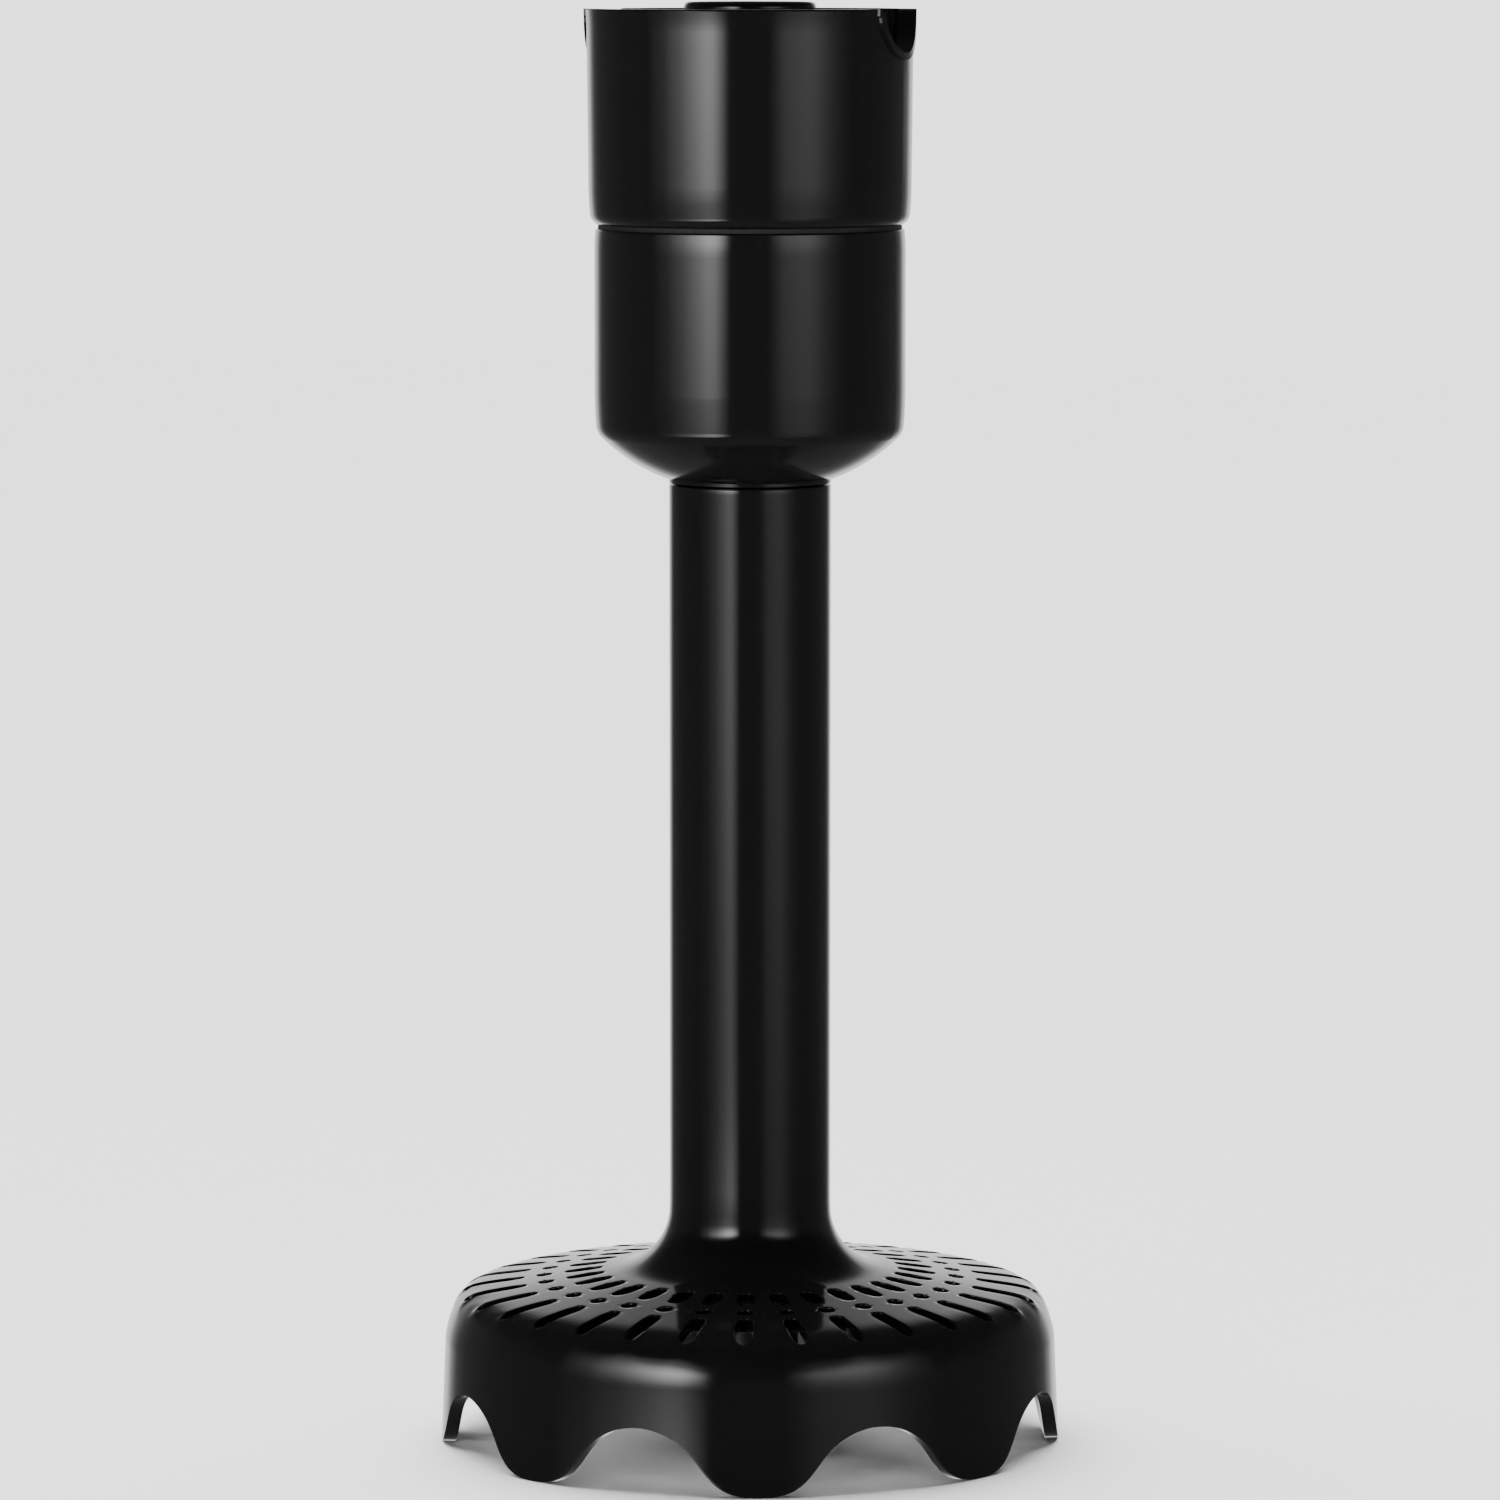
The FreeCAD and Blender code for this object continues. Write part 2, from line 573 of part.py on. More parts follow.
def make_ring_gear():
    """Toothed ring for both stages, keyed on the housing's three screw posts."""
    module = number("module")
    teeth = int(number("ring_teeth"))
    pitch_r = module * teeth / 2
    low, high = number("ledge_z"), number("lid_z")
    ring = Part.makeCylinder(number("ring_gear_r"), high - low, FreeCAD.Vector(0, 0, low))
    # the tooth spaces of a ring are the teeth of a gear with a little more width
    cutter = toothed_face(teeth, pitch_r - module, pitch_r + 1.25 * module,
                          -number("backlash") / 2)
    cutter.translate(FreeCAD.Vector(0, 0, low - 1))
    ring = ring.cut(cutter.extrude(FreeCAD.Vector(0, 0, high - low + 2)))
    for index in range(3):
        angle = math.radians(number("post_angle") + 120 * index)
        at = FreeCAD.Vector(number("post_pitch_r") * math.cos(angle),
                            number("post_pitch_r") * math.sin(angle), low - 1)
        ring = ring.cut(Part.makeCylinder(
            number("post_r + post_clearance"), high - low + 2, at))
    new_feature("ring_gear", ring)


def make_sun_gear_1():
    """Steel sun pressed on the input shaft."""
    low = number("sun_1_z")
    width = number("gear_width") + 0.1
    gear = spur_gear(int(number("sun_teeth")), low, width)
    new_feature("sun_gear_1", bored(gear, number("input_r"), low - 1, low + width + 1))


def make_sun_gear_2():
    """Steel sun with a stub that is pressed into the first carrier."""
    low = number("sun_2_z")
    width = number("gear_width")
    gear = spur_gear(int(number("sun_teeth")), low, width)
    stub_top = number("carrier_1_z + carrier_thickness")
    stub = Part.makeCylinder(number("stub_r"), stub_top - low, FreeCAD.Vector(0, 0, low))
    new_feature("sun_gear_2", gear.fuse(stub).removeSplitter())


def make_planets(stage, low):
    """Three planets of one stage, each turned a third further round the drive axis."""
    centre = number("module * (sun_teeth + planet_teeth) / 2")
    gear = spur_gear(int(number("planet_teeth")), low, number("gear_width"))
    gear = bored(gear, number("pin_r + running + 0.01"), low - 1,
                 low + number("gear_width") + 1)
    for index, letter in enumerate("abc"):
        turn = FreeCAD.Rotation(FreeCAD.Vector(0, 0, 1), 120 * index)
        at_pin = FreeCAD.Placement(turn.multVec(FreeCAD.Vector(centre, 0, 0)), turn)
        new_feature("planet_%d_%s" % (stage, letter), gear.copy(), at_pin)


def make_pins(label, low, high):
    """Three steel planet pins, pressed in their carrier."""
    centre = number("module * (sun_teeth + planet_teeth) / 2")
    pins = []
    for index in range(3):
        angle = math.radians(120 * index)
        at = FreeCAD.Vector(centre * math.cos(angle), centre * math.sin(angle), low)
        pins.append(Part.makeCylinder(number("pin_r"), high - low, at))
    new_feature(label, Part.makeCompound(pins))


def make_carrier_1():
    """Disc between the two stages, with the second sun in its middle."""
    body = new_body("carrier_1")
    top = "carrier_1_z + carrier_thickness"
    revolve(body, [
        ("stub_r", "carrier_1_z"), ("carrier_r", "carrier_1_z"),
        ("carrier_r", top), ("stub_r", top),
    ])
    drill_pin_holes(body, top)


def make_output_carrier():
    """Disc with a long hub, pressed on the drive shaft."""
    body = new_body("output_carrier")
    top = "carrier_2_z + carrier_thickness"
    revolve(body, [
        ("drive_r", "carrier_hub_z"), ("carrier_hub_r", "carrier_hub_z"),
        ("carrier_hub_r", "carrier_2_z"), ("carrier_r", "carrier_2_z"),
        ("carrier_r", top), ("drive_r", top),
    ])
    drill_pin_holes(body, top)


def drill_pin_holes(body, top):
    hole = new_sketch(body, "XY_Plane", top + " + 1")
    circle(hole, "module * (sun_teeth + planet_teeth) / 2", "0", "pin_r")
    holes = pocket(body, hole, "carrier_thickness + 2")
    polar(body, [holes], "3")


# ---------------------------------------------------------------- input side


def make_input_shaft():
    """Steel shaft from the coupling down to the first sun, with a thrust collar."""
    body = new_body("input_shaft")
    collar_top = "bearing_z - 0.2"
    revolve(body, [
        ("0", "input_z"), ("input_r - 0.3", "input_z"), ("input_r", "input_z + 0.3"),
        ("input_r", "input_collar_z"), ("input_collar_r", "input_collar_z"),
        ("input_collar_r", collar_top), ("input_r", collar_top),
        ("input_r", "input_top_z - 0.3"), ("input_r - 0.3", "input_top_z"),
        ("0", "input_top_z"),
    ])


def make_drive_coupling():
    """Splined socket for the motor's spindle, with a plain pilot bore under the splines."""
    body = new_body("drive_coupling")
    revolve(body, [
        ("input_r", "coupling_z"), ("coupling_r - 1.5", "coupling_z"),
        ("coupling_r", "coupling_z + 1.5"), ("coupling_r", "coupling_top_z - 0.6"),
        ("coupling_r - 0.6", "coupling_top_z"), ("spline_r + 0.4", "coupling_top_z"),
        ("spline_r", "coupling_top_z - 0.4"), ("spline_r", "spline_z"),
        ("pilot_bore_r", "spline_z"), ("pilot_bore_r", "pilot_bore_z"),
        ("0", "pilot_bore_z"), ("0", "input_top_z"), ("input_r", "input_top_z"),
    ])
    spline = new_sketch(body, "XY_Plane", "coupling_top_z")
    outline(spline, [
        ("0", "-spline_width / 2"), ("spline_tip_r", "-spline_width / 2"),
        ("spline_tip_r", "spline_width / 2"), ("0", "spline_width / 2"),
    ])
    splines = pocket(body, spline, "coupling_top_z - spline_z")
    polar(body, [splines], "spline_count")


# ---------------------------------------------------------------- output side


def make_drive_shaft():
    """Long steel shaft from the output carrier to the paddle, drilled for the cross pin."""
    body = new_body("drive_shaft")
    top = "carrier_2_z + carrier_thickness"
    revolve(body, [
        ("0", "drive_z"), ("drive_r - drive_edge", "drive_z"),
        ("drive_r", "drive_z + drive_edge"), ("drive_r", top + " - drive_edge"),
        ("drive_r - drive_edge", top), ("0", top),
    ])
    hole = new_sketch(body, "YZ_Plane", "drive_r + 1")
    circle(hole, "0", "cross_pin_z", "cross_pin_r")
    pocket(body, hole, "2 * drive_r + 2")


def make_cross_pin():
    """Steel pin across the shaft's lower end. It hooks into the paddle's slots."""
    pin = doc.addObject("Part::Cylinder", "cross_pin")
    pin.Label = "cross_pin"
    pin.setExpression("Radius", bound("cross_pin_r"))
    pin.setExpression("Height", bound("2 * cross_pin_half"))
    across = FreeCAD.Rotation(FreeCAD.Vector(0, 1, 0), 90)
    pin.Placement = FreeCAD.Placement(FreeCAD.Vector(), across)
    pin.setExpression("Placement.Base.x", bound("-cross_pin_half"))
    pin.setExpression("Placement.Base.z", bound("cross_pin_z"))
    PARTS.append(pin)


# ---------------------------------------------------------------- foot


CROWN_R = "(tube_r + flare_r - flare_r * sin(crown_slope))"
CROWN_Z = "(flare_z - flare_r * cos(crown_slope))"


def crown(radius):
    """Height of the bell's top surface at a radius outside the flare."""
    return "(%s - (%s - %s) * tan(crown_slope))" % (CROWN_Z, radius, CROWN_R)


def make_masher_foot():
    """Tube, flare, bell and skirt in one moulding of even wall, with a web that carries
    the lower bush and with bayonet slots for the gearbox's lugs in the top of the tube."""
    body = new_body("masher_foot")
    inner_flare = "(flare_r + wall)"
    flare_axis = "(tube_r + flare_r)"
    under = "wall * cos(crown_slope)"
    aside = "wall * sin(crown_slope)"
    revolve(body, [
        ("foot_seal_r", "boss_z"),
        ("boss_r", "boss_z"),
        ("boss_r", "web_z"),
        ("%s - sqrt(%s^2 - (flare_z - web_z)^2)" % (flare_axis, inner_flare), "web_z"),
        (CROWN_R + " - " + aside, CROWN_Z + " - " + under, inner_flare),
        ("shoulder_start_r - " + aside, crown("shoulder_start_r") + " - " + under),
        ("shoulder_r - wall * 0.95", "shoulder_z - wall * 0.31", "-(shoulder_arc - wall)"),
        ("skirt_top_r - wall", "skirt_top_z", "-(skirt_arc - wall)"),
        ("foot_r - wall", "0"),
        ("foot_r", "0"),
        ("skirt_top_r", "skirt_top_z"),
        ("shoulder_r", "shoulder_z", "skirt_arc"),
        ("shoulder_start_r", crown("shoulder_start_r"), "shoulder_arc"),
        (CROWN_R, CROWN_Z),
        ("tube_r", "flare_z", "-flare_r"),
        ("tube_r", "tube_top_z - tube_edge"),
        ("tube_r - tube_edge", "tube_top_z"),
        ("sleeve_r", "tube_top_z"),
        ("sleeve_r", "sleeve_z"),
        ("tube_bore_r", "sleeve_z"),
        ("tube_bore_r", "flare_z"),
        ("%s - sqrt(%s^2 - (flare_z - web_top_z)^2)" % (flare_axis, inner_flare),
         "web_top_z", inner_flare),
        ("boss_top_r", "web_top_z"),
        ("boss_top_r", "foot_bush_top_z"),
        ("foot_bush_r", "foot_bush_top_z"),
        ("foot_bush_r", "foot_bush_z"),
        ("foot_seal_r", "foot_bush_z"),
    ])
    # scallops between the lobes, the first one on the +Y axis
    low, high = "-1", "sqrt((arch_r + lobe_arc)^2 - (arch_z - arch_r - lobe_arc)^2)"
    share = "(arch_r / (arch_r + lobe_arc))"
    meet_x = "(%s) * %s" % (high, share)
    meet_z = "(arch_z - arch_r) - (arch_z - arch_r - lobe_arc) * %s" % share
    scallop = new_sketch(body, "XZ_Plane", "30")
    outline(scallop, [
        ("-(%s)" % high, low),
        (high, low),
        (high, "0"),
        (meet_x, meet_z, "-lobe_arc"),
        ("-" + meet_x, meet_z, "arch_r"),
        ("-(%s)" % high, "0", "-lobe_arc"),
    ])
    scallops = pocket(body, scallop, "30", ahead=True)
    polar(body, [scallops], "lobes")
    # one spoke of perforations, repeated round the bell
    spoke = new_sketch(body, "XY_Plane", "web_top_z + 2")
    spoke.setExpression("AttachmentOffset.Rotation.Yaw",
                        bound("180 / lobes - spoke_offset - 90"))
    slot(spoke, "inner_slot_from", "inner_slot_to", "slot_width")
    circle(spoke, "hole_at", "0", "hole_r")
    slot(spoke, "outer_slot_from", "outer_slot_to", "slot_width")
    spokes = pocket(body, spoke, "web_top_z + 2 - skirt_top_z")
    polar(body, [spokes], "spokes")
    # bayonet: an entry from the top, then a way round to where the lug locks
    entry_low = "lug_z - slot_gap"
    for low_z, high_z, start, sweep in (
        (entry_low, "lug_z + lug_height + slot_gap",
         "-foot_turn - entry_angle / 2", "foot_turn + entry_angle"),
        (entry_low, "tube_top_z + 1", "-foot_turn - entry_angle / 2", "entry_angle"),
    ):
        way = new_sketch(body, "XZ_Plane")
        outline(way, [
            ("sleeve_r - 1", low_z), ("slot_r", low_z),
            ("slot_r", high_z), ("sleeve_r - 1", high_z),
        ])
        way.AttachmentSupport = [(origin_item(body, "XZ_Plane"), "")]
        feature = body.newObject("PartDesign::Groove", "bayonet_way")
        feature.Profile = way
        feature.ReferenceAxis = (way, ["V_Axis"])
        way.setExpression("AttachmentOffset.Rotation.Pitch", bound(start))
        feature.setExpression("Angle", bound(sweep))
        changed(body, feature, adds=False)
        polar(body, [feature], "3")


def make_foot_bush():
    """Flanged bush in the foot's web, the drive shaft's lower bearing."""
    body = new_body("foot_bush")
    bore = "drive_r + running"
    top = "foot_bush_top_z + foot_bush_flange"
    revolve(body, [
        (bore, "foot_bush_z + 0.2"), ("foot_bush_r", "foot_bush_z + 0.2"),
        ("foot_bush_r", "foot_bush_top_z"), ("boss_top_r - 0.2", "foot_bush_top_z"),
        ("boss_top_r - 0.2", top), (bore, top),
    ])


def make_paddle():
    """Hub with two swept blades under the bell, locked on the cross pin by a short turn."""
    body = new_body("paddle")
    floor = "paddle_z + paddle_cap"
    revolve(body, [
        ("0", "paddle_z"), ("paddle_hub_r - 1.5", "paddle_z"),
        ("paddle_hub_r", "paddle_z + 1.5", "1.5"), ("paddle_hub_r", "paddle_hub_top_z"),
        ("paddle_bore_r", "paddle_hub_top_z"), ("paddle_bore_r", floor), ("0", floor),
    ])
    # a blade leaves the hub and sweeps back as it goes out
    blade = new_sketch(body, "XY_Plane", "blade_z")
    half = "blade_wall / 2"
    near, far = "paddle_hub_r - 2.5", "blade_r * cos(20)"
    outline(blade, [
        (near, "-(%s)" % half),
        (far + " + %s" % half, "blade_r * sin(-20) - %s" % half, "-blade_arc"),
        (far, "blade_r * sin(-20) + %s" % half, half + " * 1.2"),
        (near, half, "blade_arc"),
    ])
    blades = pad(body, blade, "boss_z + 4 - blade_z")
    polar(body, [blades], "2")
    # the blades' top follows the underside of the bell and clears the boss and the web
    gap = "(wall / cos(crown_slope) + blade_gap)"
    groove(body, [
        ("0", "paddle_hub_top_z"),
        ("boss_r + 1.3", "paddle_hub_top_z"),
        ("boss_r + 2.8", crown("shoulder_start_r") + " - " + gap),
        ("shoulder_start_r - 4", crown("shoulder_start_r") + " - " + gap),
        ("foot_r", crown("foot_r") + " - 4 - " + gap),
        ("foot_r", "tube_top_z"),
        ("0", "tube_top_z"),
    ])
    # hooked slots for the cross pin, both ends at once
    way = new_sketch(body, "XY_Plane", "paddle_hub_top_z")
    way.setExpression("AttachmentOffset.Rotation.Yaw", bound("-paddle_turn"))
    outline(way, [
        ("-pin_slot_r", "-pin_slot_half"), ("pin_slot_r", "-pin_slot_half"),
        ("pin_slot_r", "pin_slot_half"), ("-pin_slot_r", "pin_slot_half"),
    ])
    pocket(body, way, "paddle_hub_top_z - cross_pin_z + pin_slot_half")
    lock = new_sketch(body, "XY_Plane", "cross_pin_z + pin_slot_half")
    outline(lock, [
        ("-pin_slot_r", "-pin_slot_half"), ("pin_slot_r", "-pin_slot_half"),
        ("pin_slot_r", "pin_slot_half"), ("-pin_slot_r", "pin_slot_half"),
    ])
    pocket(body, lock, "2 * pin_slot_half")
    sweep = new_sketch(body, "XZ_Plane")
    outline(sweep, [
        ("0", "cross_pin_z - pin_slot_half"), ("pin_slot_r", "cross_pin_z - pin_slot_half"),
        ("pin_slot_r", "cross_pin_z + pin_slot_half"), ("0", "cross_pin_z + pin_slot_half"),
    ])
    sweep.setExpression("AttachmentOffset.Rotation.Pitch", bound("-paddle_turn"))
    feature = body.newObject("PartDesign::Groove", "pin_way")
    feature.Profile = sweep
    feature.ReferenceAxis = (sweep, ["V_Axis"])
    feature.setExpression("Angle", bound("paddle_turn"))
    changed(body, feature, adds=False)
    polar(body, [feature], "2")


# ---------------------------------------------------------------- the assembly

make_motor_collar()
make_gearbox_housing()
make_gearbox_lid()
make_input_bearing()
make_bearing_clip()
make_collar_screws()
make_collar_seal()
make_output_bush()
make_seal("gearbox_shaft_seal", "seal_r", "seal_z", "seal_top_z")
make_thrust_washer()
make_ring_gear()
make_input_shaft()
make_drive_coupling()
make_sun_gear_1()
make_carrier_1()
make_pins("carrier_1_pins", number("carrier_1_z"), number("sun_1_z + gear_width + 0.6"))
make_planets(1, number("carrier_1_z + carrier_thickness + face_gap"))
make_sun_gear_2()
make_output_carrier()
make_pins("output_carrier_pins", number("carrier_2_z"), number("carrier_1_z - 0.4"))
make_planets(2, number("carrier_2_z + carrier_thickness + 0.5"))
make_drive_shaft()
make_cross_pin()
make_masher_foot()
make_foot_bush()
make_seal("foot_shaft_seal", "foot_seal_r", "boss_z + 0.3", "foot_bush_z")
make_paddle()

doc.recompute()
for item in doc.Objects:
    if "Invalid" in item.State or "Error" in item.State:
        raise RuntimeError("%s failed: %s" % (item.Label, item.State))
os.makedirs("parts", exist_ok=True)
for part in PARTS:
    if part.Shape.isNull() or not part.Shape.isValid():
        raise RuntimeError("%s has no valid shape" % part.Label)
    part.Shape.exportStep("parts/%s.step" % part.Label)
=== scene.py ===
import math

import bpy
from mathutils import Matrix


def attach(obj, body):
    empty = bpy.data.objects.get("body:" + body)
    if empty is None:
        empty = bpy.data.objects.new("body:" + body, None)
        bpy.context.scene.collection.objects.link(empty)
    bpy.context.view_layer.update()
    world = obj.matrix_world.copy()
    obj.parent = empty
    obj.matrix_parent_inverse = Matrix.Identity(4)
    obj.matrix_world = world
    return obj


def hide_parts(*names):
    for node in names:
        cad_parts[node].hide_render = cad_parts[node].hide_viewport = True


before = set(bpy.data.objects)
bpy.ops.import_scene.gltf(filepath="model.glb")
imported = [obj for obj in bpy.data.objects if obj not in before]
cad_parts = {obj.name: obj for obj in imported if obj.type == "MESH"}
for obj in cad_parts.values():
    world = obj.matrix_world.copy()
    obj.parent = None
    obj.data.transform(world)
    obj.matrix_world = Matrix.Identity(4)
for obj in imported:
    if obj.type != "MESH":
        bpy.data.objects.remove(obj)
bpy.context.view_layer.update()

# ---- camera and studio: a long lens a little above the collar's rim, a pale floor that
# runs into a white background, and two soft boxes in front that draw the vertical strips
# of light on the gloss plastic.

camera_turn = math.radians(20.9)
camera_distance = 1.1899
camera_height = 0.23654
camera = bpy.data.objects.new("camera", bpy.data.cameras.new("camera"))
bpy.context.scene.collection.objects.link(camera)
camera.data.lens = 180
camera.data.sensor_width = 36
camera.data.clip_start = 0.05
camera.data.clip_end = 50
camera.location = (camera_distance * math.sin(camera_turn),
                   -camera_distance * math.cos(camera_turn), camera_height)
camera.rotation_euler = (math.radians(90 - 6.0155), 0, camera_turn)
bpy.context.scene.camera = camera


def fill(slot, value):
    """Link a Value to a socket, or set anything else on the socket itself."""
    if isinstance(value, Value):
        value.tree.links.new(value.socket, slot)
    else:
        slot.default_value = value


class Value:
    """A shader socket that can be used in arithmetic. Each operation adds one Math node."""

    def __init__(self, tree, socket):
        self.tree = tree
        self.socket = socket

    def math(self, operation, *values):
        node = self.tree.nodes.new("ShaderNodeMath")
        node.operation = operation
        for slot, value in zip(node.inputs, values):
            fill(slot, value)
        return Value(self.tree, node.outputs[0])

    def __radd__(self, other):
        return self.math("ADD", other, self)

    def __rsub__(self, other):
        return self.math("SUBTRACT", other, self)

    def __rmul__(self, other):
        return self.math("MULTIPLY", other, self)

    def above(self, edge, soft):
        """0 below the edge, 1 above it, blended over the soft width."""
        ramp = self.math("SUBTRACT", self, edge - soft / 2)
        ramp = self.math("DIVIDE", ramp, soft)
        node = self.tree.nodes.new("ShaderNodeClamp")
        fill(node.inputs[0], ramp)
        return Value(self.tree, node.outputs[0])


class Finish:
    """A material built from one Principled shader and the nodes that feed it."""

    def __init__(self, name):
        self.material = bpy.data.materials.new(name)
        self.material.use_nodes = True
        self.tree = self.material.node_tree
        self.shader = self.tree.nodes["Principled BSDF"]

    def node(self, kind, output, **values):
        """Add a node, fill its inputs and give one of its outputs."""
        made = self.tree.nodes.new(kind)
        for name, value in values.items():
            fill(made.inputs[name], value)
        return Value(self.tree, made.outputs[output])

    def noise(self, scale, detail=2.0, stretch=(1, 1, 1)):
        """Noise in object coordinates, which are stretched along each axis."""
        where = self.node("ShaderNodeTexCoord", "Object")
        placed = self.node("ShaderNodeMapping", "Vector", Vector=where, Scale=stretch)
        return self.node("ShaderNodeTexNoise", "Fac", Vector=placed, Scale=scale,
                         Detail=detail)

    def blend(self, share, dark, pale):
        """Mix two colours, or the outputs of earlier mixes."""
        made = self.tree.nodes.new("ShaderNodeMix")
        made.data_type = "RGBA"
        for number, value in ((0, share), (6, dark), (7, pale)):
            fill(made.inputs[number], value)
        return Value(self.tree, made.outputs[2])

    def set(self, **values):
        """Fill the shader's sockets, a number as itself and a Value as a link."""
        for name, value in values.items():
            fill(self.shader.inputs[name.replace("_", " ")], value)
        return self

    def bump(self, height, strength, distance):
        """Relief in metres from a height between 0 and 1."""
        self.set(Normal=self.node("ShaderNodeBump", "Normal", Height=height,
                                  Strength=strength, Distance=distance))


bpy.ops.mesh.primitive_plane_add(size=6, location=(0, 0, 0))
floor = bpy.context.object
floor.name = "floor"
floor.data.materials.append(Finish("pale_floor").set(
    Base_Color=(0.93, 0.93, 0.93, 1), Roughness=0.85).material)
floor.visible_glossy = False


def grey_ramp(tree, stops):
    """A colour ramp through grey levels at positions from 0 to 1."""
    made = tree.nodes.new("ShaderNodeValToRGB")
    points = made.color_ramp.elements
    for point, (position, level) in zip(points, (stops[0], stops[-1])):
        point.position = position
        point.color = (level, level, level, 1)
    for position, level in stops[1:-1]:
        points.new(position).color = (level, level, level, 1)
    return made


# The surroundings are dim in front and bright behind, as a product table with a lit
# backdrop has them. They fade upward, and the camera sees them plain white.
world = bpy.data.worlds.new("studio")
bpy.context.scene.world = world
world.use_nodes = True
sky = world.node_tree
sky.nodes.clear()
out = sky.nodes.new("ShaderNodeOutputWorld")
seen = sky.nodes.new("ShaderNodeBackground")
seen.inputs["Strength"].default_value = 2.4
seen.inputs["Color"].default_value = (1, 1, 1, 1)
around = sky.nodes.new("ShaderNodeBackground")
around.inputs["Strength"].default_value = 1.0
where = sky.nodes.new("ShaderNodeTexCoord")
toward = sky.nodes.new("ShaderNodeVectorMath")
toward.operation = "DOT_PRODUCT"
toward.inputs[1].default_value = (-math.sin(camera_turn), math.cos(camera_turn), 0.0)
sky.links.new(where.outputs["Generated"], toward.inputs[0])
half = sky.nodes.new("ShaderNodeMath")
half.operation = "MULTIPLY_ADD"
half.inputs[1].default_value = 0.5
half.inputs[2].default_value = 0.5
sky.links.new(toward.outputs["Value"], half.inputs[0])
backdrop = grey_ramp(sky, ((0.65, 0.11), (0.85, 0.14), (0.905, 0.24), (0.94, 0.65),
                           (0.965, 1.5)))
sky.links.new(half.outputs[0], backdrop.inputs[0])
height = sky.nodes.new("ShaderNodeSeparateXYZ")
sky.links.new(where.outputs["Generated"], height.inputs[0])
rise = sky.nodes.new("ShaderNodeMapRange")
rise.inputs["From Min"].default_value = -1
sky.links.new(height.outputs["Z"], rise.inputs["Value"])
fade = grey_ramp(sky, ((0.2, 1.5), (0.42, 1), (0.58, 1), (0.64, 0.6), (0.69, 0.36),
                       (0.8, 0.2), (1, 0.12)))
fade.color_ramp.elements[6].color = (0.12, 0.12, 0.13, 1)
sky.links.new(rise.outputs[0], fade.inputs[0])
lit = sky.nodes.new("ShaderNodeMix")
lit.data_type = "RGBA"
lit.blend_type = "MULTIPLY"
lit.inputs[0].default_value = 1
sky.links.new(backdrop.outputs[0], lit.inputs[6])
sky.links.new(fade.outputs[0], lit.inputs[7])
sky.links.new(lit.outputs[2], around.inputs["Color"])
ray = sky.nodes.new("ShaderNodeLightPath")
mix = sky.nodes.new("ShaderNodeMixShader")
sky.links.new(ray.outputs["Is Camera Ray"], mix.inputs[0])
sky.links.new(around.outputs[0], mix.inputs[1])
sky.links.new(seen.outputs[0], mix.inputs[2])
sky.links.new(mix.outputs[0], out.inputs["Surface"])


def soft_box(name, bearings, power, color, across, upward):
    """A soft box between two bearings, in degrees round from the camera. Its cloth's
    brightness is a product of two rows of stops, one across it and one up it."""
    distance, foot_height, top_height = 0.8, -0.3, 0.5
    light = bpy.data.objects.new(name, bpy.data.lights.new(name, "AREA"))
    bpy.context.scene.collection.objects.link(light)
    angle = camera_turn + math.radians((bearings[0] + bearings[1]) / 2)
    reach = math.radians((bearings[1] - bearings[0]) / 2)
    light.location = (distance * math.sin(angle), -distance * math.cos(angle),
                      (foot_height + top_height) / 2)
    light.rotation_euler = (math.radians(90), 0, angle)
    light.data.shape = "RECTANGLE"
    light.data.size = 2 * distance * math.tan(reach)
    light.data.size_y = top_height - foot_height
    light.data.energy = power
    light.data.color = color
    light.visible_camera = False
    light.data.use_nodes = True
    tree = light.data.node_tree
    spot = tree.nodes.new("ShaderNodeNewGeometry")
    parts = tree.nodes.new("ShaderNodeSeparateXYZ")
    tree.links.new(spot.outputs["Parametric"], parts.inputs[0])
    both = tree.nodes.new("ShaderNodeMath")
    both.operation = "MULTIPLY"
    for number, stops in enumerate((across, upward)):
        ramp = grey_ramp(tree, stops)
        tree.links.new(parts.outputs[number], ramp.inputs[0])
        tree.links.new(ramp.outputs[0], both.inputs[number])
    tree.links.new(both.outputs[0], tree.nodes["Emission"].inputs["Strength"])


soft_box("left_soft_box", (-76, -13), 27, (1.0, 0.975, 0.98),
         across=((0, 0), (0.24, 0.08), (0.43, 0.30), (0.60, 0.70), (0.70, 1), (0.78, 0.95),
                 (0.87, 0.45), (0.96, 0.03), (1, 0)),
         upward=((0, 0.45), (0.2, 0.42), (0.284, 0.12), (0.346, 0.13), (0.425, 0.18),
                 (0.488, 0.18), (0.55, 0.33), (0.613, 0.52), (0.675, 0.75), (0.763, 1),
                 (0.825, 0.8), (0.9, 0.2), (1, 0)))
soft_box("right_soft_box", (13, 75), 5.5, (0.97, 0.97, 1.0),
         across=((0, 0), (0.12, 0.33), (0.21, 0.71), (0.30, 0.83), (0.39, 0.95), (0.48, 1),
                 (0.57, 0.78), (0.66, 0.48), (0.75, 0.25), (0.86, 0.1), (1, 0)),
         upward=((0, 0.17), (0.2, 0.15), (0.284, 0.17), (0.346, 0.22), (0.425, 0.28),
                 (0.488, 0.28), (0.55, 0.40), (0.613, 0.55), (0.675, 0.75), (0.763, 1),
                 (0.825, 0.8), (0.9, 0.2), (1, 0)))

# a wide, even light from above for the floor and its soft shadow
overhead = bpy.data.objects.new("overhead_light", bpy.data.lights.new("overhead_light", "SUN"))
bpy.context.scene.collection.objects.link(overhead)
overhead.data.energy = 9.0
overhead.data.angle = math.radians(70)
overhead.rotation_euler = (math.radians(-20), math.radians(-15), 0)
overhead.visible_glossy = False

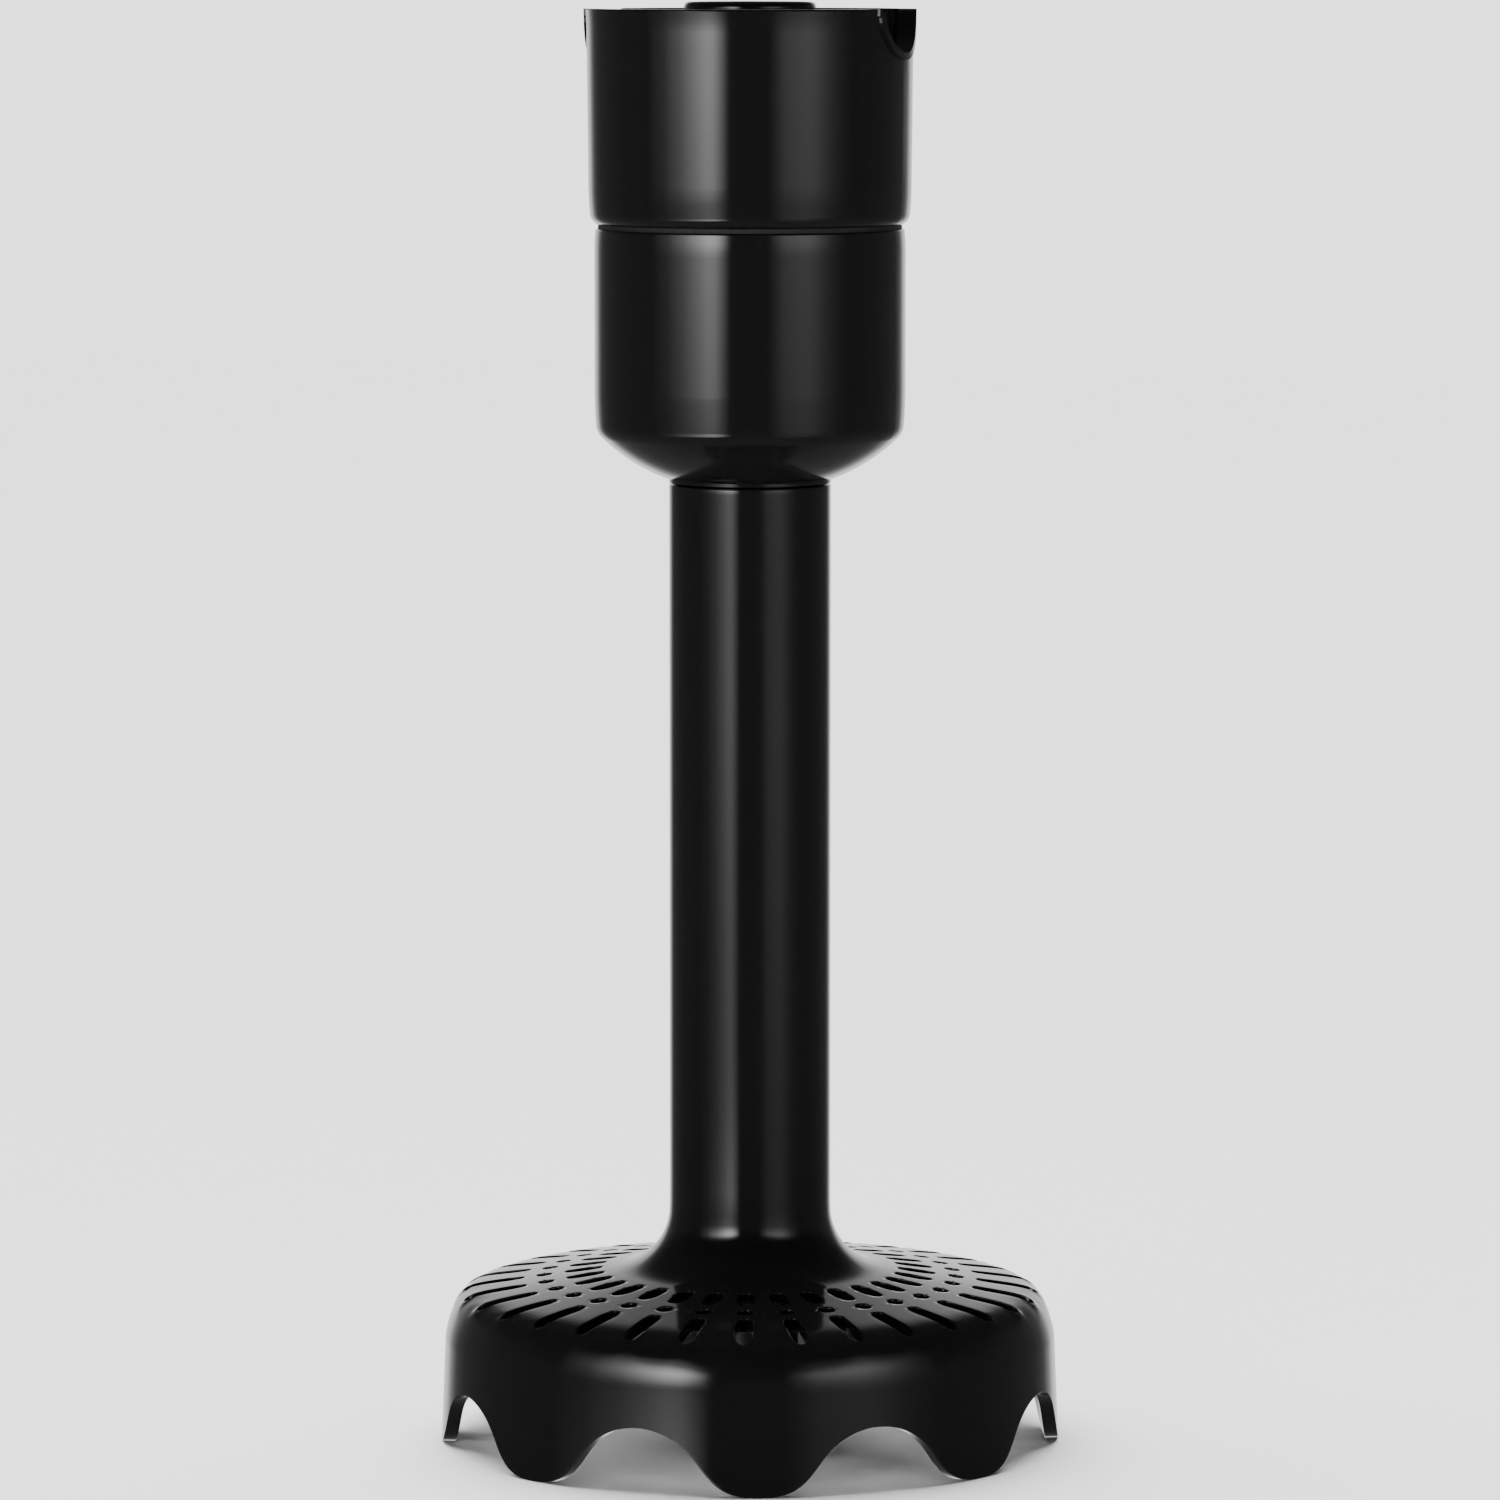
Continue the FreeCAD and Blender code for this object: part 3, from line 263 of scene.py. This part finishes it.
# ---- masher foot: tube, flare, perforated bell and scalloped skirt, one thin-walled
# moulding in black gloss ABS. A lathe-turned skin gets its slots and scallops, then its
# wall; the web with the bush's boss and the two lands of the bayonet are moulded inside.


def edit(made):
    """Enter edit mode on one object with nothing else selected."""
    bpy.ops.object.select_all(action="DESELECT")
    made.select_set(True)
    bpy.context.view_layer.objects.active = made
    bpy.ops.object.mode_set(mode="EDIT")


def turned(name, profile, sections, closed=False):
    """Turn a profile of (radius, height) in millimetres round the Z axis: a ring that is
    extruded and resized from point to point, joined to its start when closed."""
    bpy.ops.object.select_all(action="DESELECT")
    radius, height = profile[0]
    bpy.ops.mesh.primitive_circle_add(vertices=sections, radius=radius / 1000)
    made = bpy.context.object
    made.name = name
    edit(made)
    bpy.ops.mesh.select_all(action="SELECT")
    bpy.ops.transform.translate(value=(0, 0, height / 1000))
    for next_radius, next_height in list(profile[1:]) + ([profile[0]] if closed else []):
        bpy.ops.mesh.extrude_region_move(
            TRANSFORM_OT_translate={"value": (0, 0, (next_height - height) / 1000)})
        bpy.ops.transform.resize(value=(next_radius / radius, next_radius / radius, 1),
                                 center_override=(0, 0, next_height / 1000))
        radius, height = next_radius, next_height
    bpy.ops.mesh.select_all(action="SELECT")
    if closed:
        bpy.ops.mesh.remove_doubles(threshold=0.000001)
    bpy.ops.mesh.normals_make_consistent(inside=False)
    bpy.ops.object.mode_set(mode="OBJECT")
    return made


def modify(made, kind, **settings):
    """Add one modifier to an object and apply it."""
    bpy.ops.object.select_all(action="DESELECT")
    made.select_set(True)
    bpy.context.view_layer.objects.active = made
    modifier = made.modifiers.new(kind.lower(), kind)
    for key, value in settings.items():
        setattr(modifier, key, value)
    bpy.ops.object.modifier_apply(modifier=modifier.name)


# lengths in millimetres, slopes in radians, other angles in degrees: the tube and the
# flare's arc under it, the crown, the shoulder's arc, the arc above the skirt's crease,
# the skirt's cone, its lobes, and the spokes that the slots lie on
tube_r, flare_r, flare_z, slope = 12.87, 9.8, 37.6, math.radians(8)
crown_r = tube_r + flare_r - flare_r * math.sin(slope)
crown_z = flare_z - flare_r * math.cos(slope)
shoulder_from, shoulder_r, shoulder_z, shoulder_arc = 43.9, 43.116, 19.823, 4.96
crease_z, hip_r, hip_z, hip_arc = 16.9, 33.6, 15.017, 15.45
skirt_r, skirt_z, skirt_spread = 49.0, 15.4, 0.62
scallops_z = 13.6
lobe_pitch, arch_arc, arch_drop, lobe_arc = 45, 11.8, 1.4, 8.6
spokes, spoke_shift, slot_half = 32, -2.9, 1.375
# columns of points per spoke: the slot's middle line, its tip and side, the rib between
# two slots, and the next slot's side and tip
columns = 6
tip = slot_half / math.sqrt(2)
hole_rows = (31.725, 34.475)


def bell_height(radius):
    """Height of the bell's skin at a radius, over the crown and then the shoulder."""
    if radius <= shoulder_from:
        return crown_z - (radius - crown_r) * math.tan(slope)
    return shoulder_z + math.sqrt(shoulder_arc ** 2 - (radius - shoulder_r) ** 2)


def skirt_radius(height):
    """Radius of the skirt's skin at a height: an arc down to the crease, then a cone."""
    if height > crease_z:
        return hip_r + math.sqrt(hip_arc ** 2 - (height - hip_z) ** 2)
    return skirt_r + (skirt_z - height) * skirt_spread / skirt_z


def scallop_height(angle):
    """Height of the skirt's edge at an angle: an arch between two lobes."""
    around = abs((angle + lobe_pitch / 2) % lobe_pitch - lobe_pitch / 2)
    across = skirt_radius(3) * math.sin(math.radians(around))
    arcs = arch_arc + lobe_arc
    reach = math.sqrt(arcs ** 2 - (lobe_arc + arch_drop) ** 2)
    if across < reach * arch_arc / arcs:
        return math.sqrt(arch_arc ** 2 - across ** 2) - arch_drop
    return lobe_arc - math.sqrt(lobe_arc ** 2 - (reach - across) ** 2) if across < reach else 0.0


# each row of the skin: radius, height, how far its columns follow the spokes, and for
# the end of a slot which way its rounded tip points
rows = [(tube_r - 0.2, 153.8, 0, 0), (tube_r, 153.6, 0, 0)]
rows += [(tube_r, height, 0, 0) for height in (153.2, 150.0, 115.0, 76.0, 44.0, flare_z)]
last_bend = 82
for bend in (10, 21, 32, 43, 54, 65, 74, last_bend):
    rows.append((tube_r + flare_r - flare_r * math.cos(math.radians(bend)),
                 flare_z - flare_r * math.sin(math.radians(bend)), bend / last_bend, 0))
slot_rows = []
for radius, points in ((22.3, 0), (23.6, 1), (26.7, 0), (29.9, -1), (30.8, 0),
                       (hole_rows[0], 1), (hole_rows[1], -1), (35.3, 0), (36.2, 1),
                       (40.3, 0), (43.0, 0), (46.5, -1)):
    rows.append((radius, bell_height(radius), 1, points))
    if points == 1:
        slot_from = len(rows) - 1
    if points == -1:
        slot_rows += range(slot_from, len(rows) - 1)
rows += [(47.1, bell_height(47.1), 0.6, 0), (skirt_radius(21.3), 21.3, 0.3, 0)]
rows += [(skirt_radius(height), height, 0, 0)
         for height in (19.4, 18.0, 17.05, 16.75, skirt_z, scallops_z)]
skirt_from = len(rows) - 1
down = (0.72, 0.46, 0.24, 0.08, 0.0)
rows += [(skirt_radius(scallops_z * share), scallops_z * share, 0, 0) for share in down]

foot = turned("masher_foot_shell", [row[:2] for row in rows], columns * spokes)
pitch = 360 / spokes
place_of = {}
for vertex in foot.data.vertices:
    x, y, z = (1000 * value for value in vertex.co)
    row = min(range(len(rows)),
              key=lambda n: abs(rows[n][0] - math.hypot(x, y)) + abs(rows[n][1] - z))
    column = round(math.degrees(math.atan2(y, x)) / (pitch / columns)) % (columns * spokes)
    place_of[vertex.index] = row, column
    radius, height, follow, points = rows[row]
    spoke, step = divmod(column, columns)
    # the slot's own outline at this column: how far out and how far aside
    if points:
        hole = radius in hole_rows
        back = {0: 0, 1: slot_half - tip, 5: slot_half - tip}.get(
            step, slot_half - 0.25 if hole else slot_half)
        radius += points * (back if step != 3 else back * 0.6)
        height = bell_height(radius)
    aside = {0: 0, 1: tip, 2: slot_half, 4: slot_half, 5: tip}.get(step, 0)
    turn = math.degrees(math.asin(aside / radius))
    along = {0: 0, 1: turn, 2: turn, 3: pitch / 2, 4: pitch - turn, 5: pitch - turn}[step]
    even = step * pitch / columns
    angle = spoke_shift + spoke * pitch + even + (along - even) * follow
    if row > skirt_from:
        edge = scallop_height(angle)
        share = down[row - skirt_from - 1]
        height = edge + (scallops_z - edge) * share
        radius = skirt_radius(height)
    vertex.co = (radius / 1000 * math.cos(math.radians(angle)),
                 radius / 1000 * math.sin(math.radians(angle)), height / 1000)

edit(foot)
bpy.ops.mesh.select_mode(type="FACE")
bpy.ops.mesh.select_all(action="DESELECT")
bpy.ops.object.mode_set(mode="OBJECT")
for face in foot.data.polygons:
    first_row = min(place_of[index][0] for index in face.vertices)
    steps = {place_of[index][1] % columns for index in face.vertices}
    if first_row in slot_rows and 3 not in steps:
        face.select = True
bpy.ops.object.mode_set(mode="EDIT")
bpy.ops.mesh.delete(type="FACE")
bpy.ops.object.mode_set(mode="OBJECT")
outward = sum(face.normal.x * face.center.x + face.normal.y * face.center.y
              for face in foot.data.polygons)
if outward < 0:
    edit(foot)
    bpy.ops.mesh.select_all(action="SELECT")
    bpy.ops.mesh.flip_normals()
    bpy.ops.object.mode_set(mode="OBJECT")
modify(foot, "SOLIDIFY", thickness=0.0022, offset=-1, use_even_offset=True,
       use_quality_normals=True, edge_crease_outer=1, edge_crease_inner=1)
modify(foot, "SUBSURF", levels=1, render_levels=1)
modify(foot, "BEVEL", width=0.0004, segments=2, limit_method="ANGLE",
       angle_limit=math.radians(60))

web = turned("masher_foot_web", [
    (6.4, 21.5), (7.8, 21.5), (8.2, 21.9), (8.2, 26.6), (8.6, 27.0), (17.6, 27.0),
    (15.3, 29.0), (7.2, 29.0), (7.2, 37.0), (5.5, 37.0), (5.5, 25.0), (6.4, 25.0)],
    96, closed=True)
lands = [turned("masher_foot_land", [(9.4, low), (10.9, low), (10.9, high), (9.4, high)],
                96, closed=True) for low, high in ((134.0, 138.6), (142.8, 153.4))]
bpy.ops.object.select_all(action="DESELECT")
for made in [web] + lands + [foot]:
    made.select_set(True)
bpy.context.view_layer.objects.active = foot
bpy.ops.object.join()
bpy.ops.object.shade_smooth_by_angle(angle=math.radians(55))
modify(foot, "WEIGHTED_NORMAL", keep_sharp=True)

gloss = Finish("gloss_black_plastic")
smudge = gloss.noise(90, detail=4)
gloss.set(Base_Color=(0.0036, 0.0036, 0.0038, 1), Roughness=0.065 + 0.05 * smudge)
gloss.bump(gloss.noise(60, detail=1), 0.2, 0.00002)
foot.data.materials.clear()
foot.data.materials.append(gloss.material)
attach(foot, "foot")
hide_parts("masher_foot")


# ---- motor collar and gearbox housing: the sleeve that slips over the motor body, with its
# tower and two release notches, and the domed cup below it. Both are moulded in the foot's
# black gloss ABS and stand as they were packed.
def finish(coat, *names):
    """Give CAD nodes one finish."""
    for name in names:
        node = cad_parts[name]
        node.data.materials.clear()
        node.data.materials.append(coat.material)


finish(gloss, "motor_collar", "gearbox_housing")

# ---- collar seal and shaft seals: nitrile rubber, matt from the mould. The flat ring fills
# the groove between collar and cup, and the other two run on the drive shaft.
rubber = Finish("black_rubber")
rubber.set(Base_Color=(0.012, 0.012, 0.012, 1), Roughness=0.55 + 0.25 * rubber.noise(900))
rubber.bump(rubber.noise(2600, detail=3), 0.4, 0.00004)
finish(rubber, "collar_seal", "gearbox_shaft_seal", "foot_shaft_seal")

# ---- drive coupling: glass-filled nylon with six splines. Short fibres lie in its skin as
# pale flecks, and the sliding faces are burnished.
nylon = Finish("coupling_plastic")
fleck = nylon.noise(3200, detail=1, stretch=(1, 1, 0.4)).above(0.66, 0.14)
nylon.set(Base_Color=nylon.blend(fleck, (0.035, 0.035, 0.038, 1), (0.08, 0.08, 0.08, 1)),
          Roughness=0.5 - 0.12 * nylon.noise(60))
nylon.bump(nylon.noise(2400), 0.3, 0.00003)
finish(nylon, "drive_coupling")

# ---- collar screws: zinc-plated pan-head screws with a clear passivated film that is faintly
# blue, and a cross recess stamped in the head.
zinc = Finish("zinc_screw")
film = zinc.noise(420, detail=3)
zinc.set(Base_Color=zinc.blend(film, (0.60, 0.63, 0.67, 1), (0.74, 0.74, 0.72, 1)),
         Metallic=1, Roughness=0.22 + 0.22 * film)
zinc.bump(zinc.noise(1500), 0.2, 0.00002)
finish(zinc, "collar_screws")

# ---- gearbox lid: glass-filled nylon plate, satin all over from a spark-eroded mould.
inner = Finish("black_inner_plastic")
inner.set(Base_Color=(0.022, 0.022, 0.024, 1), Roughness=0.42 + 0.2 * inner.noise(300))
inner.bump(inner.noise(2800, detail=3), 0.5, 0.00005)
finish(inner, "gearbox_lid")

# ---- ring gear and planets: natural acetal, milky white, with grease rubbed into the flanks
# so that its colour drifts from tooth to tooth.
acetal = Finish("natural_gear_plastic")
grease = acetal.noise(260, detail=4).above(0.56, 0.25)
acetal.set(Base_Color=acetal.blend(grease, (0.78, 0.76, 0.70, 1), (0.66, 0.60, 0.47, 1)),
           Roughness=0.42 - 0.2 * grease, Subsurface_Weight=0.12)
acetal.bump(acetal.noise(1800), 0.2, 0.00003)
finish(acetal, "ring_gear", "planet_1_a", "planet_1_b", "planet_1_c",
       "planet_2_a", "planet_2_b", "planet_2_c")

# ---- bearing, shafts, pins and thrust washer: centreless-ground bearing steel. The wheel
# leaves fine rings round each one, close together along its axis.
ground = Finish("ground_steel")
rings = ground.noise(900, detail=3, stretch=(0.03, 0.03, 3.0))
ground.set(Base_Color=ground.blend(rings, (0.56, 0.56, 0.57, 1), (0.64, 0.64, 0.64, 1)),
           Metallic=1, Roughness=0.2 + 0.08 * rings)
ground.bump(rings, 0.1, 0.000005)
finish(ground, "input_bearing", "thrust_washer", "output_carrier_pins", "carrier_1_pins",
       "drive_shaft", "cross_pin", "input_shaft")

# ---- suns, carriers and bearing clip: sintered and hardened steel, grey-brown from the
# quench and wet with gear grease.
sintered = Finish("gear_steel")
scale = sintered.noise(380, detail=5)
sintered.set(Base_Color=sintered.blend(scale, (0.20, 0.19, 0.185, 1), (0.40, 0.39, 0.38, 1)),
             Metallic=1, Roughness=0.28 + 0.3 * scale)
sintered.bump(sintered.noise(2200, detail=3), 0.35, 0.00004)
finish(sintered, "bearing_clip", "carrier_1", "output_carrier", "sun_gear_1", "sun_gear_2")

# ---- output and foot bushes: oil-soaked sintered bronze, its pores dark on a warm, dull
# ground.
bronze = Finish("sintered_bronze")
pores = bronze.noise(2600, detail=2).above(0.60, 0.08)
tone = bronze.noise(300, detail=3)
bronze.set(Base_Color=bronze.blend(pores, bronze.blend(
    tone, (0.40, 0.25, 0.12, 1), (0.56, 0.38, 0.20, 1)), (0.09, 0.06, 0.035, 1)),
    Metallic=1, Roughness=0.4 + 0.3 * pores)
bronze.bump(1 - pores, 0.5, 0.00003)
finish(bronze, "output_bush", "foot_bush")

# ---- paddle: hub with two swept blades in black polyamide, satin from the mould, with the
# blades' faces slightly polished by use.
satin = Finish("black_paddle_plastic")
worn = satin.noise(55, detail=4)
satin.set(Base_Color=satin.blend(worn, (0.014, 0.014, 0.015, 1), (0.026, 0.026, 0.027, 1)),
          Roughness=0.36 - 0.14 * worn)
satin.bump(satin.noise(2600, detail=3), 0.35, 0.00004)
finish(satin, "paddle")
